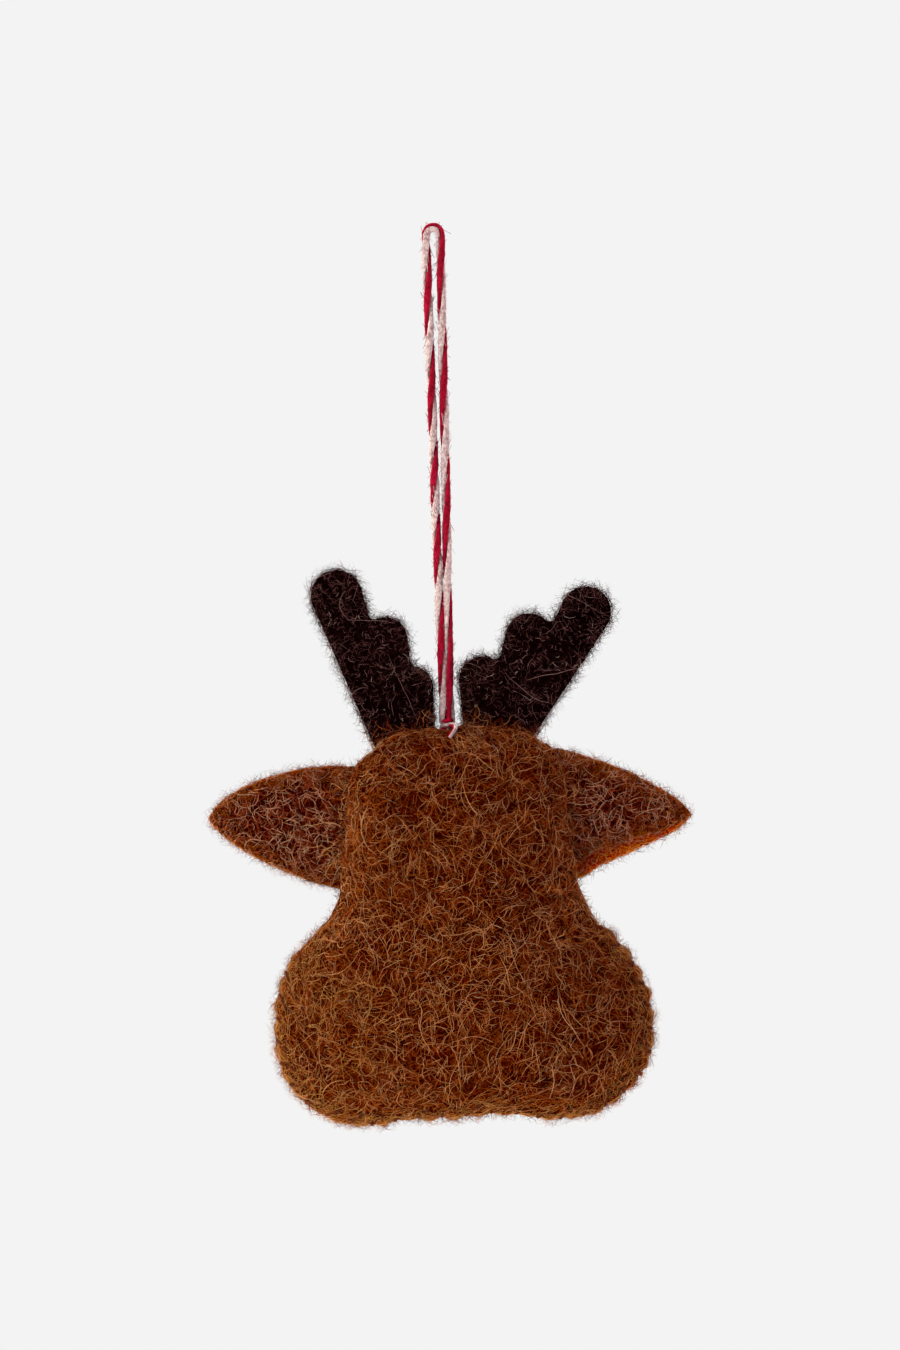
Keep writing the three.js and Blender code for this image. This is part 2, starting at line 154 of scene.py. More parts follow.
floor_height = -1.0
floor_glow = 0.8  # the share of what is seen of the floor that is plain backdrop grey
bpy.ops.object.select_all(action="DESELECT")
bpy.ops.mesh.primitive_circle_add(vertices=96, radius=3, fill_type="NGON", location=(0, 0, floor_height))
floor = bpy.context.object
floor.name = "floor"
bpy.ops.object.transform_apply()
floor_paint, paint, matt = new_material("floor_paint", {"Base Color": tint(238, 238, 238), "Roughness": 0.9})
pale = new_node(paint, "ShaderNodeEmission", {"Color": backdrop_grey}).outputs[0]
share = new_node(paint, "ShaderNodeMath", {0: seen_or_mirrored(paint), 1: floor_glow}, operation="MULTIPLY")
shaded = new_node(paint, "ShaderNodeMixShader", {0: share.outputs[0], 1: matt.outputs[0], 2: pale})
fill_sockets(paint, paint.nodes["Material Output"], {"Surface": shaded.outputs[0]})
floor.data.materials.append(floor_paint)

# Hanging loop: one length of two-ply cotton twine, a crimson ply and a cream one laid right-handed, each
# spun the other way and pressed flat by its mate. It is doubled over, and both legs run down to the crown.
cord_step = 0.4 * MM
ply_offset = 0.44 * MM
ply_half = (0.24 * MM, 0.50 * MM)  # a ply's core, towards the other ply and across
filament_count = 7
filament_radius = 0.25 * MM
filament_lay = -4.6 * MM
cord_lay = 19 * MM
end_turn = 1.4  # radians that the plies turn by beyond the first and the last mark
even_steps = 8  # steps to each side that the turn is averaged over

cord_leg = [
    (0.64, -98.3), (0.64, -96), (0.64, -92), (0.68, -87), (0.78, -80), (0.86, -70), (1.0, -61), (1.1, -53),
    (1.15, -41), (1.22, -31), (1.32, -18), (1.38, -8), (1.42, -3), (1.42, -0.7), (1.25, 0.1), (0.74, 0.69),
]
cord_points = [(x, 0, z) for x, z in cord_leg] + [(0, 0, 0.9)] + [(-x, 0, z) for x, z in cord_leg[::-1]]
crimson_turns = {  # degrees that the crimson ply has turned by at each height, as laid by hand
    "left": [(-93.6, 270), (-71.3, 630), (-55.5, 990), (-41.1, 1350), (-21.8, 1710), (-2.5, 2070)],
    "right": [(-18.9, 2430), (-43.6, 2790), (-57.4, 2970), (-69.6, 3150), (-91.9, 3330)],
}


def smooth_line(points, step):
    """Evenly spaced points on a smooth curve through these, which are in millimetres."""
    p = np.array(points, float) * MM
    p = np.vstack([2 * p[0] - p[1], p, 2 * p[-1] - p[-2]])
    t = np.linspace(0, 1, 24, endpoint=False)[:, None]
    rows = [
        0.5 * (2 * b + (c - a) * t + (2 * a - 5 * b + 4 * c - d) * t**2 + (3 * b - a - 3 * c + d) * t**3)
        for a, b, c, d in zip(p, p[1:], p[2:], p[3:])
    ]
    line = np.vstack([*rows, p[-2:-1]])
    reach = run_of(line)
    spots = np.linspace(0, reach[-1], max(2, round(reach[-1] / step) + 1))
    return np.stack([np.interp(spots, reach, line[:, k]) for k in range(3)], 1)


def unit(rows):
    return rows / np.maximum(np.linalg.norm(rows, axis=-1, keepdims=True), 1e-12)


def carried_frame(line):
    """Two directions square to a line at each point, carried along it without twisting."""
    aim = unit(np.gradient(line, axis=0))
    last = np.array([0.0, 1.0, 0.0] if abs(aim[0, 1]) < 0.9 else [1.0, 0.0, 0.0])
    across = np.empty_like(line)
    for k, a in enumerate(aim):
        last = last - a * (last @ a)
        last = across[k] = last / np.linalg.norm(last)
    return np.cross(across, aim), across


def run_of(line):
    """How far along a line each of its points is."""
    return np.concatenate([[0], np.cumsum(np.linalg.norm(np.diff(line, axis=0), axis=1))])


def wound(line, offset, lay, start):
    """A line that winds round another, right-handed where the lay is above zero."""
    angle = start + 2 * np.pi * run_of(line) / lay
    side, across = carried_frame(line)
    return line + offset * (np.cos(angle)[:, None] * side + np.sin(angle)[:, None] * across)


def new_piece(name, points, faces, materials, slots=None):
    mesh = bpy.data.meshes.new(name)
    mesh.from_pydata(np.asarray(points).tolist(), [], faces)
    piece = bpy.data.objects.new(name, mesh)
    scene.collection.objects.link(piece)
    for material in materials:
        mesh.materials.append(material)
    if slots is not None:
        mesh.polygons.foreach_set("material_index", np.asarray(slots, np.int32))
    return piece


def tubes(name, strands, sides, materials):
    """One mesh of closed tubes. A strand is its line, its radius, one number or one per point, and its slot."""
    turn = 2 * np.pi * np.arange(sides) / sides
    points, faces, slots = [], [], []
    for line, radius, slot in strands:
        side, across = carried_frame(line)
        thick = np.broadcast_to(radius, len(line))[:, None, None]
        ring = np.cos(turn)[None, :, None] * side[:, None] + np.sin(turn)[None, :, None] * across[:, None]
        first = sum(len(p) for p in points)
        points.append((line[:, None] + thick * ring).reshape(-1, 3))
        at = first + np.arange(len(line) * sides).reshape(-1, sides)
        wall = np.stack([at[:-1], np.roll(at, -1, 1)[:-1], np.roll(at, -1, 1)[1:], at[1:]], -1)
        made = [*wall.reshape(-1, 4).tolist(), at[0, ::-1].tolist(), at[-1].tolist()]
        faces += made
        slots += [slot] * len(made)
    piece = new_piece(name, np.vstack(points), faces, materials, slots)
    piece.data.shade_smooth()
    return piece


def yarn_finish(name, dark, light, scale):
    """Spun cotton: soft, matt and streaked by its own fibres."""
    soft = {"Roughness": 0.9, "Specular IOR Level": 0.1, "Sheen Weight": 0.06}
    material, tree, shader = new_material(name, soft)
    place = new_node(tree, "ShaderNodeTexCoord").outputs["Object"]
    fleck = new_node(tree, "ShaderNodeTexNoise", {"Vector": place, "Scale": scale, "Detail": 4}).outputs["Fac"]
    shade = new_node(tree, "ShaderNodeValToRGB", {"Fac": fleck})
    for stop, position, colour in zip(shade.color_ramp.elements, (0.32, 0.62), (dark, light)):
        stop.position, stop.color = position, colour
    nap = new_node(tree, "ShaderNodeBump", {"Height": fleck, "Strength": 0.5, "Distance": 0.1 * MM})
    fill_sockets(tree, shader, {"Base Color": shade.outputs["Color"], "Normal": nap.outputs["Normal"]})
    return material


def plied(line, crimson_angle, size=1.0):
    """The filaments of both plies along a line: the crimson ply in slot 0 and the cream one in slot 1."""
    side, across = carried_frame(line)
    run = run_of(line)
    spin = 2 * np.pi * run / filament_lay
    draw = np.random.default_rng(11)
    strands = []
    for slot in (0, 1):
        angle = (crimson_angle + slot * np.pi)[:, None]
        out = np.cos(angle) * side + np.sin(angle) * across
        beside = np.cos(angle) * across - np.sin(angle) * side
        for k in range(filament_count):
            turn = (spin + 2 * np.pi * k / filament_count)[:, None]
            bundle = ply_half[0] * np.cos(turn) * out + ply_half[1] * np.sin(turn) * beside
            uneven = np.sin(run / draw.uniform(1.6, 3.4) / MM + draw.uniform(0, 6))
            slub = 1 + 0.16 * uneven * np.sin(run / 7.3 / MM + k)
            strands.append((line + size * (ply_offset * out + bundle), size * filament_radius * slub, slot))
    return strands


def cord_fuzz(line, crimson_angle, count, seed):
    """Loose fibre ends that stand off the twine, each of the colour of the ply that it leaves."""
    draw = np.random.default_rng(seed)
    side, across = carried_frame(line)
    twine_half = 0.72
    strands = []
    for k in draw.integers(6, len(line) - 6, count):
        angle = draw.uniform(0, 2 * np.pi)
        out = np.cos(angle) * side[k] + np.sin(angle) * across[k]
        along = unit(line[k + 1] - line[k - 1]) * draw.choice((-1, 1))
        reach, rise = draw.uniform(0.6, 2.4), draw.uniform(0.15, 0.8)
        lean = np.cross(along, out) * draw.normal(0, 0.35)
        bow = [
            line[k] + MM * (out * (twine_half + rise * t**1.6) + (along * reach + lean) * t)
            for t in (0, 0.35, 0.7, 1)
        ]
        strands.append((np.array(bow), 0.04 * MM, int(np.cos(angle - crimson_angle[k]) < 0)))
    return strands


crimson = yarn_finish("crimson_cotton", tint(118, 0, 26), tint(184, 4, 54), 1900)
cream = yarn_finish("cream_cotton", tint(170, 144, 144), tint(236, 222, 226), 1900)

cord_line = smooth_line(cord_points, cord_step)
cord_run = run_of(cord_line)
marks = []
for leg, turns in crimson_turns.items():
    on_leg = np.nonzero((cord_line[:, 0] > 0) == (leg == "left"))[0]
    for height, degrees in turns:
        at = on_leg[np.argmin(np.abs(cord_line[on_leg, 2] - height * MM))]
        marks.append((cord_run[at], math.radians(degrees)))
marks = np.array([(0.0, marks[0][1] - end_turn), *marks, (cord_run[-1], marks[-1][1] + end_turn)])
cord_angle = np.interp(cord_run, marks[:, 0], marks[:, 1])
window = 2 * even_steps + 1
cord_angle = np.convolve(np.pad(cord_angle, even_steps, mode="edge"), np.ones(window) / window, mode="valid")
cord_strands = plied(cord_line, cord_angle) + cord_fuzz(cord_line, cord_angle, 800, 3)
hanging_twine = tubes("hanging_twine", cord_strands, 5, [crimson, cream])
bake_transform(hanging_twine)
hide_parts("hanging_cord")

# Head: two sheets of hairy brown wool felt, cut alike, overcast together round the edge and stuffed full.
# The pillow is blown up from a leaner start with its stitches pinned, then parted into its two sheets.
head_x, head_z = -1.4, -98.9
felt = 2.2
felt_core = 1.9  # a sheet without its nap
seam_gap = 0.15  # from the middle plane to a sheet at the seam
head_depth = 25.0
fullest = np.array([0.0, -50.0])
lean = 0.93  # the share of the full swell that the start has
stitch_pitch = 4.75
stitch_inset = 2.5
tie_reach, root_reach = 1.1, 1.6  # how far the felt is held about a stitch and about a root
most_swell = 2.6

outline_curves = [
    ((0, 0), (13, 0), (21.455, -2.6), (21.8, -14.1)),
    ((21.8, -14.1), (22.79, -47.1), (38.2, -40.1), (38.2, -59.3)),
    ((38.2, -59.3), (38.2, -72.1), (28, -80.1), (16, -80.1)),
    ((16, -80.1), (10, -80.1), (6, -78.1), (0, -78.1)),
]


def curve_points(a, b, c, d, count):
    t = np.linspace(0, 1, count, endpoint=False)[:, None]
    a, b, c, d = (np.array(p, float) for p in (a, b, c, d))
    return (1 - t) ** 3 * a + 3 * (1 - t) ** 2 * t * b + 3 * (1 - t) * t**2 * c + t**3 * d


left_half = np.vstack([*[curve_points(*curve, 100) for curve in outline_curves], [(0, -78.1)]])
rim_fine = np.vstack([left_half, (left_half * (-1, 1))[-2:0:-1]])
rim_closed = np.vstack([rim_fine, rim_fine[:1]])
rim_reach = run_of(rim_closed)


def rim_at(spots):
    """Points of the seam's outline, clockwise from the crown as the face sees it, at these lengths."""
    spots = np.asarray(spots) % rim_reach[-1]
    return np.stack([np.interp(spots, rim_reach, rim_closed[:, k]) for k in (0, 1)], -1)


# the lean start: rings from the seam inwards, on both sides, joined by a band as high as two felt edges
ring_count = 240
rings = [1, 0.985, 0.955, 0.91, 0.85, 0.77, 0.67, 0.55, 0.41, 0.26, 0.12]
rim = rim_at(np.arange(ring_count) * rim_reach[-1] / ring_count)
reach = np.linalg.norm(rim - fullest, axis=1)
ease = 36
round_reach = np.mean([np.roll(reach, k) for k in range(-ease, ease + 1)], axis=0)
aim = (rim - fullest) / reach[:, None]


def start_height(s):
    """How far the lean start stands off the middle plane, from 0 at its fullest to 1 at the seam."""
    return felt + seam_gap + lean * (head_depth / 2 - felt - seam_gap) * max(0, 1 - s**2.3) ** 0.8


start_points = []
for sign in (1, -1):
    for s in rings:
        spot = fullest + aim * (s * (round_reach + (reach - round_reach) * s))[:, None]
        height = np.full(ring_count, sign * start_height(s))
        start_points.append(np.column_stack([spot[:, 0], height, spot[:, 1]]))
start_points += [[(fullest[0], sign * start_height(0), fullest[1])] for sign in (1, -1)]
start_points = (np.vstack(start_points) + (head_x, 0, head_z)) * MM
at = np.arange(2 * len(rings) * ring_count).reshape(2, -1, ring_count)
beside = np.roll(at, -1, 2)
start_faces = np.stack([at[0, 0], beside[0, 0], beside[1, 0], at[1, 0]], -1).tolist()
for k, order in ((0, 1), (1, -1)):
    quads = np.stack([at[k, :-1], at[k, 1:], beside[k, 1:], beside[k, :-1]], -1).reshape(-1, 4)
    fan = np.stack([at[k, -1], np.full(ring_count, at.size + k), beside[k, -1]], -1)
    start_faces += quads[:, ::order].tolist() + fan[:, ::order].tolist()

blow_scale = 20  # the cloth solver is meant for things of about this size
pillow = new_piece("pillow", start_points * blow_scale, start_faces, [])


def make_active(piece):
    bpy.ops.object.select_all(action="DESELECT")
    piece.select_set(True)
    bpy.context.view_layer.objects.active = piece


def apply_modifier(piece, kind, **settings):
    make_active(piece)
    modifier = piece.modifiers.new(kind.lower(), kind)
    for key, value in settings.items():
        setattr(modifier, key, value)
    bpy.ops.object.modifier_apply(modifier=modifier.name)


def edit_all(piece, operator, **settings):
    """An operator of edit mode on the whole of a piece's mesh."""
    make_active(piece)
    bpy.ops.object.mode_set(mode="EDIT")
    bpy.ops.mesh.select_all(action="SELECT")
    operator(**settings)
    bpy.ops.object.mode_set(mode="OBJECT")


def points_of(piece):
    rows = np.empty(len(piece.data.vertices) * 3, np.float32)
    piece.data.vertices.foreach_get("co", rows)
    return rows.reshape(-1, 3).astype(float)


def set_points(piece, rows):
    piece.data.vertices.foreach_set("co", np.asarray(rows, np.float32).ravel())
    piece.data.update()


edit_all(pillow, bpy.ops.mesh.normals_make_consistent, inside=False)
apply_modifier(pillow, "REMESH", mode="VOXEL", voxel_size=1.25 * MM * blow_scale)

first_stitch = rim_reach[np.argmax(left_half[:, 1] < -38.6)]
last_stitch = rim_reach[-1] - rim_reach[np.argmax(left_half[:, 1] < -38.2)]
stitch_count = round((last_stitch - first_stitch) / stitch_pitch)
stitch_spots = np.linspace(first_stitch, last_stitch, stitch_count + 1)
stitch_rim = rim_at(stitch_spots)
root_lines = {  # where things are sewn in between the sheets, and their half thickness
    "left_ear": ((19.108, -106.796), (23.126, -130.572), 1.75),
    "right_ear": ((-19.944, -103.854), (-25.822, -130.266), 1.75),
    "left_antler": ((2.2, -98.99), (15.1, -102.197), 1.5),
    "right_antler": ((-3.015, -98.914), (-17.142, -101.691), 1.5),
    "knot": ((-0.9, -99.2), (0.9, -99.2), 1.3),
}


def from_root(spots, root):
    """How far each spot is from a root line, as the face sees them."""
    start, run = np.array(root[0]), np.array(root[1]) - root[0]
    flat = spots[:, [0, 2]] - start
    along = np.clip(flat @ run / (run @ run), 0, 1)
    return np.linalg.norm(flat - along[:, None] * run, axis=1)


def eased(value, low, high):
    """0 at the low value, 1 at the high one, which may be the smaller, and a smooth step between."""
    t = np.clip((value - low) / (high - low), 0, 1)
    return t * t * (3 - 2 * t)


blown = points_of(pillow)
rows = blown / blow_scale / MM
tied = np.zeros(len(rows))
for x, z in stitch_rim + (head_x, head_z):
    tied = np.maximum(tied, np.linalg.norm(rows[:, [0, 2]] - (x, z), axis=1) < tie_reach)
for root in root_lines.values():
    tied = np.maximum(tied, from_root(rows, root) < root_reach)
pins = pillow.vertex_groups.new(name="stitches")
for index in np.nonzero(tied)[0]:
    pins.add([int(index)], 1.0, "REPLACE")

make_active(pillow)
blow = pillow.modifiers.new("blow", "CLOTH")
for key, value in {
    "quality": 5, "mass": 0.015, "tension_stiffness": 30, "compression_stiffness": 20,
    "shear_stiffness": 8, "bending_stiffness": 0.4, "use_pressure": True, "uniform_pressure_force": 14,
    "vertex_group_mass": "stitches",
}.items():
    setattr(blow.settings, key, value)
blow.settings.effector_weights.gravity = 0
blow.collision_settings.use_collision = False
blow_steps = 20
blow.point_cache.frame_start = 1
blow.point_cache.frame_end = blow_steps
for step in range(1, blow_steps + 1):
    scene.frame_set(step)
bpy.ops.object.modifier_apply(modifier="blow")
scene.frame_set(1)
moved = points_of(pillow) - blown
size = np.linalg.norm(moved, axis=1)
moved *= np.minimum(1, most_swell * MM * blow_scale / np.maximum(size, 1e-9))[:, None]
set_points(pillow, blown + moved)
set_points(pillow, points_of(pillow) / blow_scale)
apply_modifier(pillow, "SUBSURF", levels=1, render_levels=1)


# needle holes pull small pits into the felt beside the edge, and the thread notches the edge between them
def inward(spots):
    """The direction in from the seam's edge, square to it, at these lengths along it."""
    along = unit(rim_at(np.asarray(spots) + 0.3) - rim_at(np.asarray(spots) - 0.3))
    return np.stack([along[..., 1], -along[..., 0]], -1)


needle = stitch_rim + inward(stitch_spots) * stitch_inset + (head_x, head_z)
draw = np.random.default_rng(31)
pit_depth = draw.uniform(0.4, 1.5, len(needle))
notch_depth = draw.uniform(0.12, 0.5, len(needle)) * np.where(needle[:, 0] > 22, 0.6, 1)
edge_draw = np.array([  # how far in from the pattern the stuffed edge lies, by length along it
    (0, 0.6), (12, 0.6), (16, 1.5), (18, 1.8), (21, 1.4), (25, 1.0), (30, 0.6), (44, 0.9), (50, 1.8),
    (54, 1.8), (57, 0.9), (60, 0.6), (64, 0.15), (68, 0.6), (72, 1.1), (78, 1.3), (84, 0.95), (88, 0.45),
    (94, 0.1), (100, 0.4), (106, 0.6), (111, 1.05), (117, 2.0), (121, 1.6), (126, 0.5), (130, 0.5),
    (136, 1.7), (141, 2.1), (145, 1.4), (150, 1.1), (155, 0.6), (160, 0.6), (165, 0.2), (169, -0.25),
    (173, 0.1), (178, 0.75), (183, 1.05), (188, 1.25), (194, 1.1), (200, 1.0), (204, 1.9), (210, 1.7),
    (215, 0.9), (232, 0.6), (238, -0.1), (242, 0.3), (250, 0.6),
])


def flat_finder(points):
    """A function that gives which of these flat points is nearest to each spot, and how far off it is."""
    tree = KDTree(len(points))
    for k, (x, z) in enumerate(points):
        tree.insert((x, z, 0), k)
    tree.balance()

    def nearest(spots):
        found = [tree.find((x, z, 0)) for x, _, z in spots]
        return np.array([f[1] for f in found]), np.array([f[2] for f in found])

    return nearest


near_rim = flat_finder(rim_fine + (head_x, head_z))
rows = points_of(pillow) / MM
for (x, z), depth in zip(needle, pit_depth):
    gap = np.hypot(rows[:, 0] - x, rows[:, 2] - z)
    rows[:, 1] -= np.sign(rows[:, 1]) * depth * np.exp(-((gap / 0.8) ** 2)) * (np.abs(rows[:, 1]) > 1)
at, edge_gap = near_rim(rows)
spot = rim_reach[at]
share = np.clip((spot - first_stitch) / (last_stitch - first_stitch) * stitch_count, 0, stitch_count)
wave = np.interp(share, np.arange(len(needle)), notch_depth) * np.cos(2 * np.pi * share)
wave *= 1 - eased(edge_gap, 0.6, 4.5)
wave -= np.interp(spot, *edge_draw.T) * (1 - eased(edge_gap, 0.6, 9))
rows[:, [0, 2]] -= inward(spot) * wave[:, None]
rows[:, 2] -= 0.8 * np.exp(-((rows[:, 0] / 2.4) ** 2)) * eased(rows[:, 2], -103, -99.5)
set_points(pillow, rows * MM)


def lumpy(piece, name, scale, strength, middle=0.5, direction="NORMAL"):
    """Soft lumps pushed in and out of a piece's faces, of this scale and strength in millimetres."""
    clouds = bpy.data.textures.get(name) or bpy.data.textures.new(name, "CLOUDS")
    clouds.noise_scale = scale * MM
    apply_modifier(
        piece, "DISPLACE", texture=clouds, strength=strength * MM, mid_level=middle, texture_coords="LOCAL",
        direction=direction,
    )


lumpy(pillow, "stuffing_lumps", 11, 1.1)


def felt_sheet(name, side):
    """One of the two sheets: the pillow's half on that side, its edge parted where something is sewn in."""
    make_active(pillow)
    bpy.ops.object.duplicate()
    sheet = bpy.context.object
    sheet.name = sheet.data.name = name
    parting = (0, side * 0.12 * MM, 0)
    edit_all(sheet, bpy.ops.mesh.bisect, plane_co=parting, plane_no=(0, side, 0), clear_inner=True)
    rows = points_of(sheet) / MM
    parted, pressed = np.zeros(len(rows)), np.zeros(len(rows))
    for root in root_lines.values():
        start, end, half = root
        away = from_root(rows, root)
        run = unit(np.array(end) - start)
        past = (rows[:, [0, 2]] - start) @ run
        past = np.maximum(np.maximum(-past, past - np.linalg.norm(np.array(end) - start)), 0)
        parted = np.maximum(parted, half * (1 - eased(away, 2, 11)) * (1 - eased(past, 0, 1.6)))
        pressed = np.maximum(pressed, 1 - eased(away, 0.5, 6.5))
    rows[:, 1] = rows[:, 1] * (1 - 0.5 * pressed) + side * parted
    set_points(sheet, rows * MM)
    return sheet


def skin_of(piece):
    """What fibres are laid on: a piece's triangles with their normals and areas, and a tree to find them by."""
    mesh = piece.data
    mesh.calc_loop_triangles()
    corners = np.empty(len(mesh.loop_triangles) * 3, np.int32)
    mesh.loop_triangles.foreach_get("vertices", corners)
    corners = corners.reshape(-1, 3)
    points = points_of(piece)
    tri = points[corners]
    cross = np.cross(tri[:, 1] - tri[:, 0], tri[:, 2] - tri[:, 0])
    area = np.linalg.norm(cross, axis=1) / 2
    keep = area > 1e-12
    tree = BVHTree.FromPolygons(points.tolist(), corners.tolist())
    return {"tri": tri[keep], "normal": unit(cross[keep]), "area": area[keep], "tree": tree}


def joined_skin(skins, root, reach):
    """One skin from several, as far as this from a root line, so that fibres can cross from one to the next."""
    tri = np.concatenate([skin["tri"] for skin in skins])
    near = from_root(tri.mean(1) / MM, root) < reach
    parts = {key: np.concatenate([skin[key] for skin in skins])[near] for key in ("tri", "normal", "area")}
    corners = np.arange(len(parts["tri"]) * 3).reshape(-1, 3)
    return {**parts, "tree": BVHTree.FromPolygons(parts["tri"].reshape(-1, 3).tolist(), corners.tolist())}


def wool_tones(wool, tones):
    """Plain matt fibre materials with their shares, from the end of each one's name, its colour and its share."""
    matt = {"Roughness": 0.8, "Specular IOR Level": 0}
    return [
        (new_material(wool + tone, {"Base Color": tint(*colour), **matt})[0], share)
        for tone, colour, share in tones
    ]


def lay_fibres(
    name, skin, count, seed, tones, length, thickness, height, rise=(0, 0), where=None, comb=None, painted_light=None,
    crimp=0.55, joints=5
):
    """Wool fibres laid at random on a skin, each a thin closed tube that bends as it goes. Sizes are ranges
    in millimetres. Tones are materials with their shares; the first, darker tones go mostly to the lowest fibres,
    as painted shade deep in the nap, with a random spread. The painted light argument gives the share of fibres
    at a spot that take the last tone, a painted highlight, instead."""
    draw = np.random.default_rng(seed)
    chance = skin["area"].copy()
    if where is not None:
        chance *= where(skin["tri"].mean(1) / MM, skin["normal"])
    pick = draw.choice(len(chance), count, p=chance / chance.sum())
    u, v = np.sqrt(draw.random(count))[:, None], draw.random(count)[:, None]
    a, b, c = (skin["tri"][pick, k] for k in range(3))
    spot = (1 - u) * a + u * (1 - v) * b + u * v * c
    up = skin["normal"][pick]
    aim = draw.normal(size=(count, 3))
    if comb is not None:
        aim = aim + comb(spot / MM, up)
    aim = unit(aim - up * (aim * up).sum(1, keepdims=True))
    stride = draw.uniform(*length, count) * MM / (joints - 1)
    level = draw.uniform(*height, count) * MM
    climb = draw.uniform(*rise, count) * MM
    bend_share = 4 / (joints - 1)
    curl = draw.normal(0, 0.3 * bend_share, count)
    shares = np.array([share for _, share in tones])
    # Partly painted shade: the lowest fibres mostly take the first, darker tones, as if shaded deep in the nap;
    # the noise keeps a random spread of tones too.
    order = np.argsort(level + draw.normal(0, 0.5 * np.ptp(level), count))
    tone = np.empty(count, int)
    bounds = np.cumsum(shares / shares.sum())[:-1] * count
    tone[order] = np.searchsorted(bounds, np.arange(count), side="right")
    # Painted highlight: where the painted light mask says, fibres take the last tone instead.
    if painted_light is not None:
        tone[draw.random(count) < painted_light(spot / MM, up)] = len(tones) - 1
    line, ups = [], []
    for k in range(joints):
        line.append(spot + up * (level + climb * (k / (joints - 1)) ** 1.5)[:, None])
        ups.append(up)
        bend = (curl + draw.normal(0, crimp * bend_share, count))[:, None]
        aim = np.cos(bend) * aim + np.sin(bend) * np.cross(up, aim)
        spot = spot + aim * stride[:, None]
        if k < joints - 1:
            found = [skin["tree"].find_nearest(Vector(p)) for p in spot]
            spot = np.array([f[0] for f in found])
            up = np.array([f[1] for f in found])
            aim = unit(aim - up * (aim * up).sum(1, keepdims=True))
    line, ups = np.stack(line, 1), np.stack(ups, 1)
    along = unit(np.gradient(line, axis=1))
    side = unit(np.cross(ups, along))
    over = np.cross(along, side)
    taper = np.interp(np.linspace(0, 1, joints), (0, 0.25, 0.7, 1), (0.5, 1, 0.9, 0.3))
    thick = draw.uniform(*thickness, count)[:, None] * MM / 2 * taper
    turn = 2 * np.pi * np.arange(3) / 3 + np.pi / 2
    ring = np.cos(turn)[:, None] * side[:, :, None] + np.sin(turn)[:, None] * over[:, :, None]
    points = line[:, :, None] + thick[:, :, None, None] * ring
    at = np.arange(count * joints * 3).reshape(count, joints, 3)
    beside = np.roll(at, -1, 2)
    walls = np.stack([at[:, :-1], beside[:, :-1], beside[:, 1:], at[:, 1:]], -1).reshape(-1, 4)
    caps = np.stack([at[:, 0, ::-1], at[:, -1]], 1).reshape(-1, 3)
    slots = np.repeat(np.concatenate([tone, tone]), [len(walls) // count] * count + [2] * count)
    faces, materials = walls.tolist() + caps.tolist(), [material for material, _ in tones]
    piece = new_piece(name, points.reshape(-1, 3), faces, materials, slots)
    piece.data.shade_smooth()
    return piece


def matted_wool():
    """Felted wool as a colour and a height: two crossing nets of bent fibres over deep gaps in painted shade, in
    soft drifts.
    """
    group = bpy.data.node_groups.new("matted_wool", "ShaderNodeTree")
    for socket in ("Deep", "Fibre", "Bloom"):
        group.interface.new_socket(socket, in_out="INPUT", socket_type="NodeSocketColor")
    group.interface.new_socket("Color", in_out="OUTPUT", socket_type="NodeSocketColor")
    group.interface.new_socket("Height", in_out="OUTPUT", socket_type="NodeSocketFloat")
    given, out = new_node(group, "NodeGroupInput").outputs, new_node(group, "NodeGroupOutput")
    place = new_node(group, "ShaderNodeTexCoord").outputs["Object"]
    bend = new_node(group, "ShaderNodeTexNoise", {"Vector": place, "Scale": 700, "Detail": 3}).outputs["Color"]
    sway = (0.0025, 0.0025, 0.0025)
    warp = new_node(group, "ShaderNodeVectorMath", {0: bend, 1: sway, 2: place}, operation="MULTIPLY_ADD")
    lines = {}
    for k, scale in enumerate((950, 1600)):
        cells = {"Vector": warp.outputs["Vector"], "Scale": scale}
        net = new_node(group, "ShaderNodeTexVoronoi", cells, feature="DISTANCE_TO_EDGE")
        fade = {"Value": net.outputs["Distance"], "From Max": 0.15, "To Min": 1.0, "To Max": 0.0}
        line = new_node(group, "ShaderNodeMapRange", fade, interpolation_type="SMOOTHSTEP")
        lines[k] = line.outputs["Result"]
    both = new_node(group, "ShaderNodeMath", lines, operation="MAXIMUM").outputs[0]
    drift_and_lit_patch = new_node(group, "ShaderNodeTexNoise", {"Vector": place, "Scale": 90, "Detail": 2}).outputs["Fac"]
    spread = new_node(group, "ShaderNodeMapRange", {"Value": drift_and_lit_patch, "From Min": 0.4, "From Max": 0.75})
    blended = {"Factor": spread.outputs["Result"], "A": given["Fibre"], "B": given["Bloom"]}
    wool = new_node(group, "ShaderNodeMix", blended, data_type="RGBA")
    netted = {"Factor": both, "A": given["Deep"], "B": wool.outputs["Result"]}
    mixed = new_node(group, "ShaderNodeMix", netted, data_type="RGBA")
    fill_sockets(group, out, {"Color": mixed.outputs["Result"], "Height": both})
    return group


wool_pattern = matted_wool()


def felt_finish(name, deep, fibre, bloom):
    """Wool felt: matt, with its fibres' relief. Its deep colour is painted shade in the gaps between the fibres.
    """
    material, tree, shader = new_material(name, {"Roughness": 0.95, "Specular IOR Level": 0})
    wool = new_node(tree, "ShaderNodeGroup", node_tree=wool_pattern)
    fill_sockets(tree, wool, {"Deep": tint(*deep), "Fibre": tint(*fibre), "Bloom": tint(*bloom)})
    relief = {"Height": wool.outputs["Height"], "Strength": 0.7, "Distance": 0.3 * MM}
    nap = new_node(tree, "ShaderNodeBump", relief)
    fill_sockets(tree, shader, {"Base Color": wool.outputs["Color"], "Normal": nap.outputs["Normal"]})
    return material


def cover(piece, finish):
    piece.data.materials.append(finish)
    piece.data.shade_smooth()


